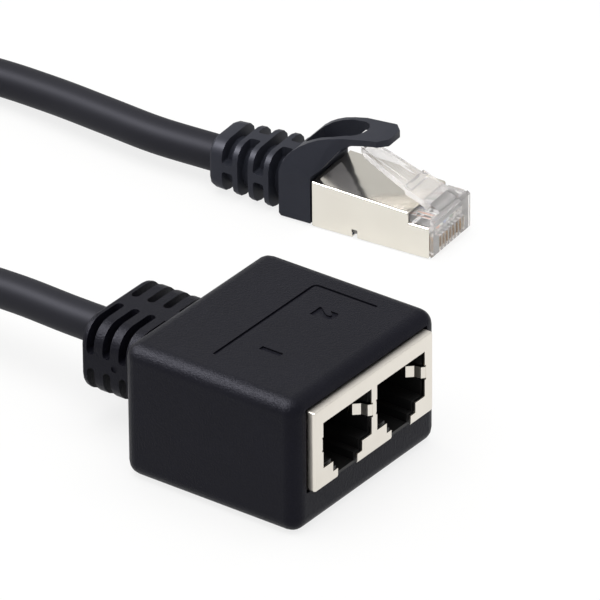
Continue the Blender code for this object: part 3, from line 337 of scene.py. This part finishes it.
def finished_copy(node, name, edge, sharp=SHARP_ANGLE):
    """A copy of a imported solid, welded, with its edges softened. It stands for the solid."""
    made = bpy.data.objects.new(name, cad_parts[node].data.copy())
    bpy.context.collection.objects.link(made)
    made.data.materials.clear()
    bpy.ops.object.select_all(action="DESELECT")
    made.select_set(True)
    bpy.context.view_layer.objects.active = made
    bpy.ops.mesh.customdata_custom_splitnormals_clear()
    bpy.ops.object.mode_set(mode="EDIT")
    bpy.ops.mesh.select_all(action="SELECT")
    bpy.ops.mesh.remove_doubles(threshold=WELD_GAP)
    bpy.ops.mesh.dissolve_limited(angle_limit=math.radians(FLAT_ANGLE))
    bpy.ops.object.mode_set(mode="OBJECT")
    soft = made.modifiers.new("soft_edges", "BEVEL")
    soft.width = edge
    soft.segments = EDGE_ROWS
    soft.limit_method = "ANGLE"
    soft.angle_limit = math.radians(sharp)
    bpy.ops.object.modifier_apply(modifier=soft.name)
    even_shading(made, sharp)
    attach(made, "root")
    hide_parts(node)
    return made


housing = finished_copy("housing", "housing_overmould", HOUSING_EDGE)

# Engraved port numbers, plain and generic, each behind its own port.
NUMBER_HEIGHT = 3.4 * MM
HEIGHT_PER_FONT_SIZE = 0.7
NUMBER_DEPTH = 0.25 * MM
NUMBER_WEIGHT = 0.26 * MM
NUMBER_ROUNDNESS = 4
NUMBER_WELD_GAP = 0.001 * MM
NUMBER_ROW = -9.65 * MM
HOUSING_TOP = 22.5 * MM
PORT_PITCH = 13.5 * MM

for number, x in (("1", -PORT_PITCH / 2), ("2", PORT_PITCH / 2)):
    bpy.ops.object.select_all(action="DESELECT")
    bpy.ops.object.text_add(location=(x, NUMBER_ROW, HOUSING_TOP), rotation=(0, 0, math.pi))
    cutter = bpy.context.object
    cutter.data.body = number
    cutter.data.align_x = "CENTER"
    cutter.data.align_y = "CENTER"
    cutter.data.size = NUMBER_HEIGHT / HEIGHT_PER_FONT_SIZE
    cutter.data.extrude = NUMBER_DEPTH
    cutter.data.offset = NUMBER_WEIGHT
    cutter.data.resolution_u = NUMBER_ROUNDNESS
    bpy.ops.object.convert(target="MESH")
    bpy.ops.object.mode_set(mode="EDIT")
    bpy.ops.mesh.select_all(action="SELECT")
    bpy.ops.mesh.remove_doubles(threshold=NUMBER_WELD_GAP)
    bpy.ops.object.mode_set(mode="OBJECT")
    bpy.ops.object.select_all(action="DESELECT")
    housing.select_set(True)
    bpy.context.view_layer.objects.active = housing
    cut = housing.modifiers.new("port_number", "BOOLEAN")
    cut.operation = "DIFFERENCE"
    cut.solver = "EXACT"
    cut.object = cutter
    bpy.ops.object.modifier_apply(modifier=cut.name)
    bpy.data.objects.remove(cutter)
bpy.ops.mesh.customdata_custom_splitnormals_clear()
even_shading(housing)

# PVC, injection moulded: nearly black, with an even grain that breaks up its
# low gloss. The real grain is finer, and is drawn as coarse as it shows.
HOUSING_PATCH = 9 * MM
HOUSING_GRAIN = 0.26 * MM
HOUSING_GRAIN_HEIGHT = 0.1 * MM

overmould, tree, shader, place = start_material("pvc_moulded_black")
shader.inputs["Specular IOR Level"].default_value = PVC_GLOSS
shader.inputs["Specular Tint"].default_value = linear(PVC_SHEEN)
two_tone(tree, place, HOUSING_PATCH, "111117", "16161e", detail=3.0)
grain = uneven(tree, place, HOUSING_GRAIN, {"Detail": 3.0, "Roughness": 0.6}, HOUSING_GRAIN_HEIGHT,
               strength=1.0)
sheen = add_node(tree, "ShaderNodeMapRange", {"To Min": 0.3, "To Max": 0.44}, {"Value": (grain, "Fac")})
tree.links.new(sheen.outputs["Result"], shader.inputs["Roughness"])
housing.data.materials.append(overmould)


# Jack shield. One sheet of nickel-plated steel, 0.3 mm thick, stamped with two
# stepped windows and folded round the jacks, with a spring finger on both sides
# of each window.
JACK_SHIELD_EDGE = 0.06 * MM

jack_shield = finished_copy("jack_shield", "jack_front_shield", JACK_SHIELD_EDGE)

# The lines that rolling leaves are finer, and are drawn as coarse as they show.
ROLLING_LINE = 0.25 * MM
ROLLING_HEIGHT = 0.01 * MM
ROLLING_SQUEEZE = 0.06
SHEET_PATCH = 6 * MM
SHEET_WAVE = 3.5 * MM
PLATE_GLOSS_RATIO = 1.25
ALONG_X, ALONG_Y = 0, 1


def plated_steel(name, darker, lighter, roughness, rolled, wave_height):
    """Nickel plate on rolled sheet: bright, slightly waved, with faint lines along one axis."""
    made, tree, shader, place = start_material(name)
    shader.inputs["Metallic"].default_value = 1.0
    two_tone(tree, place, SHEET_PATCH, darker, lighter)
    stretch = [1.0, 1.0, 1.0]
    stretch[rolled] = ROLLING_SQUEEZE
    laid = add_node(tree, "ShaderNodeMapping", {"Scale": stretch}, {"Vector": (place, "Object")})
    lines = add_node(tree, "ShaderNodeTexNoise", {"Scale": 1 / ROLLING_LINE, "Detail": 4.0},
                     {"Vector": (laid, "Vector")})
    polish = add_node(tree, "ShaderNodeMapRange",
                      {"To Min": roughness / PLATE_GLOSS_RATIO, "To Max": roughness * PLATE_GLOSS_RATIO},
                      {"Value": (lines, "Fac")})
    tree.links.new(polish.outputs["Result"], shader.inputs["Roughness"])
    bend = add_node(tree, "ShaderNodeTexNoise", {"Scale": 1 / SHEET_WAVE, "Detail": 1.0},
                    {"Vector": (place, "Object")})
    waves = add_node(tree, "ShaderNodeBump", {"Strength": 1.0, "Distance": wave_height},
                     {"Height": (bend, "Fac")})
    bump = add_node(tree, "ShaderNodeBump", {"Strength": 0.12, "Distance": ROLLING_HEIGHT},
                    {"Height": (lines, "Fac"), "Normal": (waves, "Normal")})
    tree.links.new(bump.outputs["Normal"], shader.inputs["Normal"])
    return made


# Satin nickel, which blurs what it reflects, on a sheet that folding left flat.
FRONT_WAVE_HEIGHT = 0.01 * MM

front_plate = plated_steel("steel_nickel_plated_satin", "dfd9cf", "e9e4db", roughness=0.3,
                           rolled=ALONG_X, wave_height=FRONT_WAVE_HEIGHT)
jack_shield.data.materials.append(front_plate)


# Jack insulator and its contacts. Black moulded nylon with two stepped plug
# cavities, and eight gold-plated bronze wires in each, soldered to the board.
CONTACTS = 8
GLOSS_SPREAD = 0.15


def plain_finish(name, colour, roughness, metallic=0.0, patch_size=2.0 * MM, depth=0.1):
    """A moulded or plated surface with a slight unevenness in colour and gloss."""
    made, tree, shader, place = start_material(name)
    shader.inputs["Metallic"].default_value = metallic
    clouds = add_node(tree, "ShaderNodeTexNoise", {"Scale": 1 / patch_size, "Detail": 3.0},
                      {"Vector": (place, "Object")})
    tone = add_node(tree, "ShaderNodeMixRGB", {"blend_type": "MULTIPLY", "Color1": linear(colour)},
                    {"Fac": (clouds, "Fac")})
    tone.inputs["Color2"].default_value = [1.0 - depth] * 3 + [1.0]
    tree.links.new(tone.outputs["Color"], shader.inputs["Base Color"])
    gloss = add_node(tree, "ShaderNodeMapRange",
                     {"To Min": roughness * (1 - GLOSS_SPREAD), "To Max": roughness * (1 + GLOSS_SPREAD)},
                     {"Value": (clouds, "Fac")})
    tree.links.new(gloss.outputs["Result"], shader.inputs["Roughness"])
    return made


def refinish(node, finish):
    """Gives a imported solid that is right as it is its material."""
    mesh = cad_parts[node].data
    mesh.materials.clear()
    mesh.materials.append(finish)


# Nylon, moulded: black and dull, so that the cavities stay dark.
nylon = plain_finish("nylon_moulded_black", "060607", roughness=0.5)
refinish("jack_body", nylon)

# Bronze, gold plated: warm and shiny.
gold = plain_finish("bronze_gold_plated", "c9993f", roughness=0.25, metallic=1.0, patch_size=1.0 * MM)
for port in (1, 2):
    for number in range(1, CONTACTS + 1):
        refinish("jack_%d_contact_%d" % (port, number), gold)


# Circuit board inside the housing, and the conductors at both ends of the
# cable. The board is glass fibre under a solder mask, and the conductors have
# polyethylene insulation in the usual colours of four pairs.

# Solder mask, cured on glass fibre: green with a soft gloss.
board_green = plain_finish("fibreglass_solder_mask_green", "2f5d3a", roughness=0.35, patch_size=3.0 * MM)
refinish("circuit_board", board_green)

# Polyethylene, extruded: even colours with a low gloss.
PAIR_COLOURS = ["efe0d6", "d9772f", "e2eadf", "3461ad", "dde3ee", "3b8a4c", "e8dfd4", "7c4d2e"]

for number, colour in enumerate(PAIR_COLOURS, start=1):
    insulation = plain_finish("polyethylene_extruded_%d" % number, colour, roughness=0.4,
                              patch_size=1.5 * MM, depth=0.06)
    refinish("board_wire_%d" % number, insulation)
    refinish("plug_wire_%d" % number, insulation)


# Plug body. Clear polycarbonate, moulded in one with its latch and polished,
# with a frosted load bar for the conductors and eight gold-plated blades.
CLEAR_EDGE = 0.08 * MM

plug_body = finished_copy("plug_body", "plug_clear_body", CLEAR_EDGE)

# Polycarbonate, polished: clear, with a slight haze and waves where it flowed.
# A small share stays white, for the light that its inner faces scatter.
CLEAR_FLOW = 2.5 * MM
CLEAR_WAVE_HEIGHT = 0.05 * MM

clear, tree, shader, place = start_material("polycarbonate_clear")
shader.inputs["Base Color"].default_value = linear("fdfbfa")
shader.inputs["Transmission Weight"].default_value = 0.8
shader.inputs["IOR"].default_value = 1.5
flow = uneven(tree, place, CLEAR_FLOW, {"Detail": 2.0}, CLEAR_WAVE_HEIGHT, strength=0.2)
haze = add_node(tree, "ShaderNodeMapRange", {"To Min": 0.02, "To Max": 0.1}, {"Value": (flow, "Fac")})
tree.links.new(haze.outputs["Result"], shader.inputs["Roughness"])
plug_body.data.materials.append(clear)

# Polycarbonate from a plain mould: pale and frosted, with some light through it.
frosted = plain_finish("polycarbonate_frosted", "f3e9e6", roughness=0.45)
frosted.node_tree.nodes["Principled BSDF"].inputs["Transmission Weight"].default_value = 0.3
refinish("plug_load_bar", frosted)

for number in range(1, CONTACTS + 1):
    refinish("plug_contact_%d" % number, gold)


# Plug shield. Nickel-plated steel, 0.25 mm thick, folded round the plug's body
# and brighter than the jacks' front.
PLUG_SHIELD_EDGE = 0.05 * MM

# Its bends have few faces, so only turns above this angle count as edges.
PLUG_SHIELD_SHARP_ANGLE = 50.0

plug_shield = finished_copy("plug_shield", "plug_folded_shield", PLUG_SHIELD_EDGE, PLUG_SHIELD_SHARP_ANGLE)

# Bright nickel: close to a mirror, on a sheet that folding left slightly waved.
PLUG_WAVE_HEIGHT = 0.05 * MM

bright_plate = plated_steel("steel_nickel_plated_bright", "ddd8ce", "e5e1d7", roughness=0.14,
                            rolled=ALONG_Y, wave_height=PLUG_WAVE_HEIGHT)
plug_shield.data.materials.append(bright_plate)


# Plug boot. Soft black PVC, moulded over the cable: a ribbed relief, a block
# behind the shield, and a hood that keeps the latch from snagging.
BOOT_EDGE = 0.1 * MM

# Its rounds have few faces too.
BOOT_SHARP_ANGLE = 42.0

plug_boot = finished_copy("plug_boot", "plug_snagless_boot", BOOT_EDGE, BOOT_SHARP_ANGLE)

# Soft PVC, moulded: a bluish black, greyer than the housing, with its grain
# less deep.
BOOT_PATCH = 4.0 * MM
BOOT_GRAIN_HEIGHT = 0.02 * MM

boot_pvc = plain_finish("pvc_soft_moulded_black", "272931", roughness=0.5,
                        patch_size=BOOT_PATCH, depth=0.15)
tree = boot_pvc.node_tree
shader = tree.nodes["Principled BSDF"]
shader.inputs["Specular IOR Level"].default_value = 0.18
shader.inputs["Specular Tint"].default_value = linear(PVC_SHEEN)
place = add_node(tree, "ShaderNodeTexCoord")
uneven(tree, place, HOUSING_GRAIN, {"Detail": 3.0}, BOOT_GRAIN_HEIGHT, strength=0.2)
plug_boot.data.materials.append(boot_pvc)


# Lead. The cable runs from the housing to the plug, and the plug's pieces
# are gathered in one list.
plug_pieces = [plug_body, plug_shield, plug_boot]
plug_pieces += [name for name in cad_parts
                if name.startswith("plug_") and name not in ("plug_body", "plug_shield", "plug_boot")]
